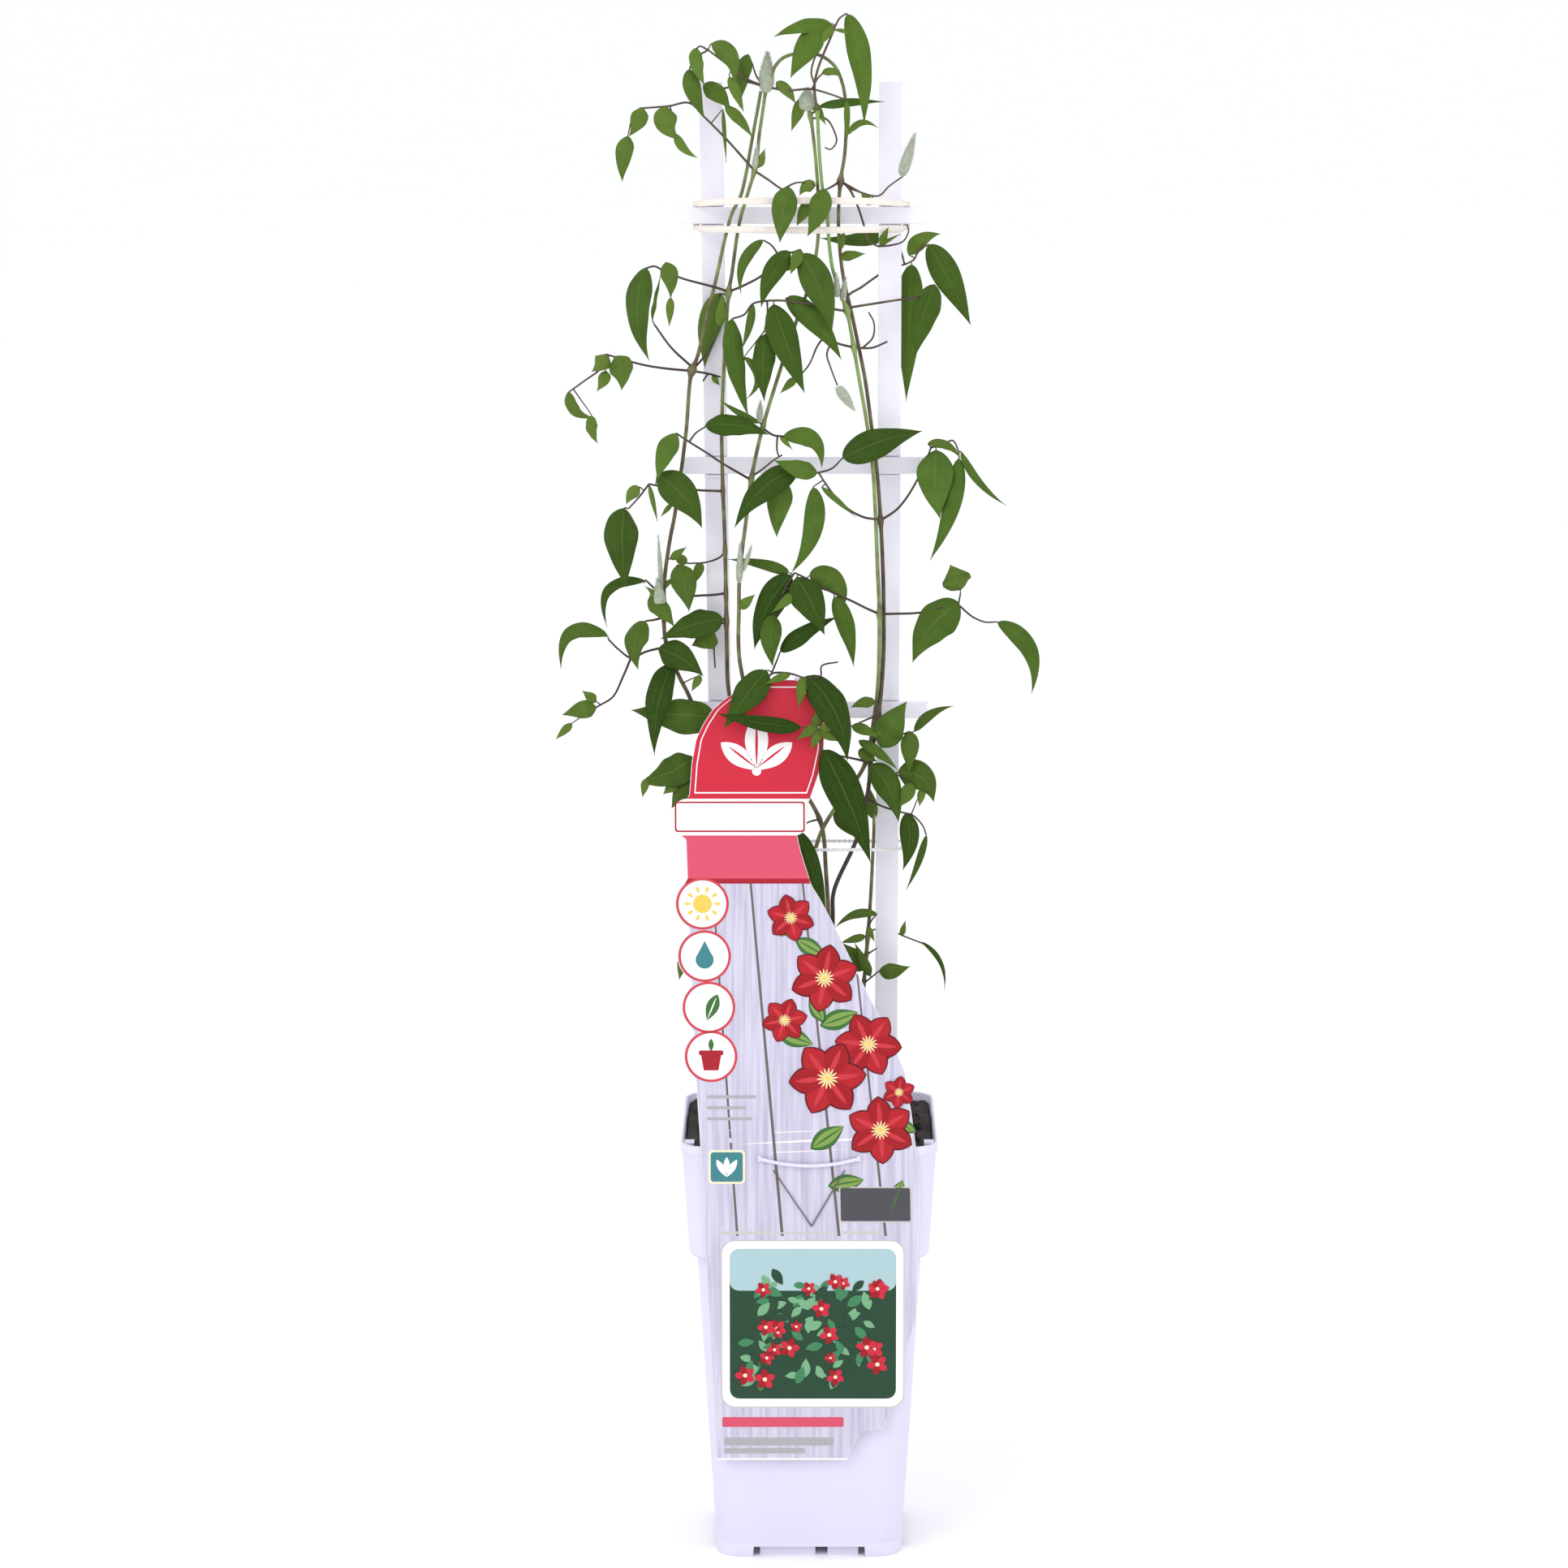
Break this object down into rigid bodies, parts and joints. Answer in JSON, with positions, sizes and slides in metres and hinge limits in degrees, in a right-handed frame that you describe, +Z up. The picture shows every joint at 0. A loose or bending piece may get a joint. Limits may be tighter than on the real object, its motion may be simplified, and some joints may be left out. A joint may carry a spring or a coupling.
{
  "type": "potted clematis",
  "caption": "Young climbing clematis in a square white nursery pot, tied with an elastic band and a wire ring to a white ladder rack, with a printed label hanging in front.",
  "frame": {"origin": "centre of the pot's underside, on the plane that the pot stands on", "axes": "+Z up along the rack, -Y towards the front of the pot where the label hangs, +X to the right seen from the front"},
  "size_m": [0.2291, 0.1273, 0.7464],
  "materials": {
    "pot_plastic": "smooth white moulded plastic with a faint lilac cast",
    "peat": "rough dark peat",
    "rack_plastic": "white moulded plastic",
    "elastic": "cream elastic band",
    "tie": "white coated twisted wire",
    "label_sheet": "printed plastic sheet",
    "foliage": "green leaves with a satin surface on thin brown-green stems"
  },
  "bodies": {
    "root": {"pot": "pot_plastic", "soil": "peat", "upright_left": "rack_plastic", "upright_right": "rack_plastic", "crossbar_top": "rack_plastic", "crossbar_middle": "rack_plastic", "crossbar_low": "rack_plastic", "elastic_band": "elastic", "wire_ring": "tie", "stake": "rack_plastic", "label": "label_sheet", "leafy_stem_left": "foliage", "leafy_stem_centre_left": "foliage", "leafy_stem_centre": "foliage", "leafy_stem_right": "foliage", "leafy_stem_arching": "foliage", "leafy_stem_low": "foliage"}
  },
  "joints": []
}
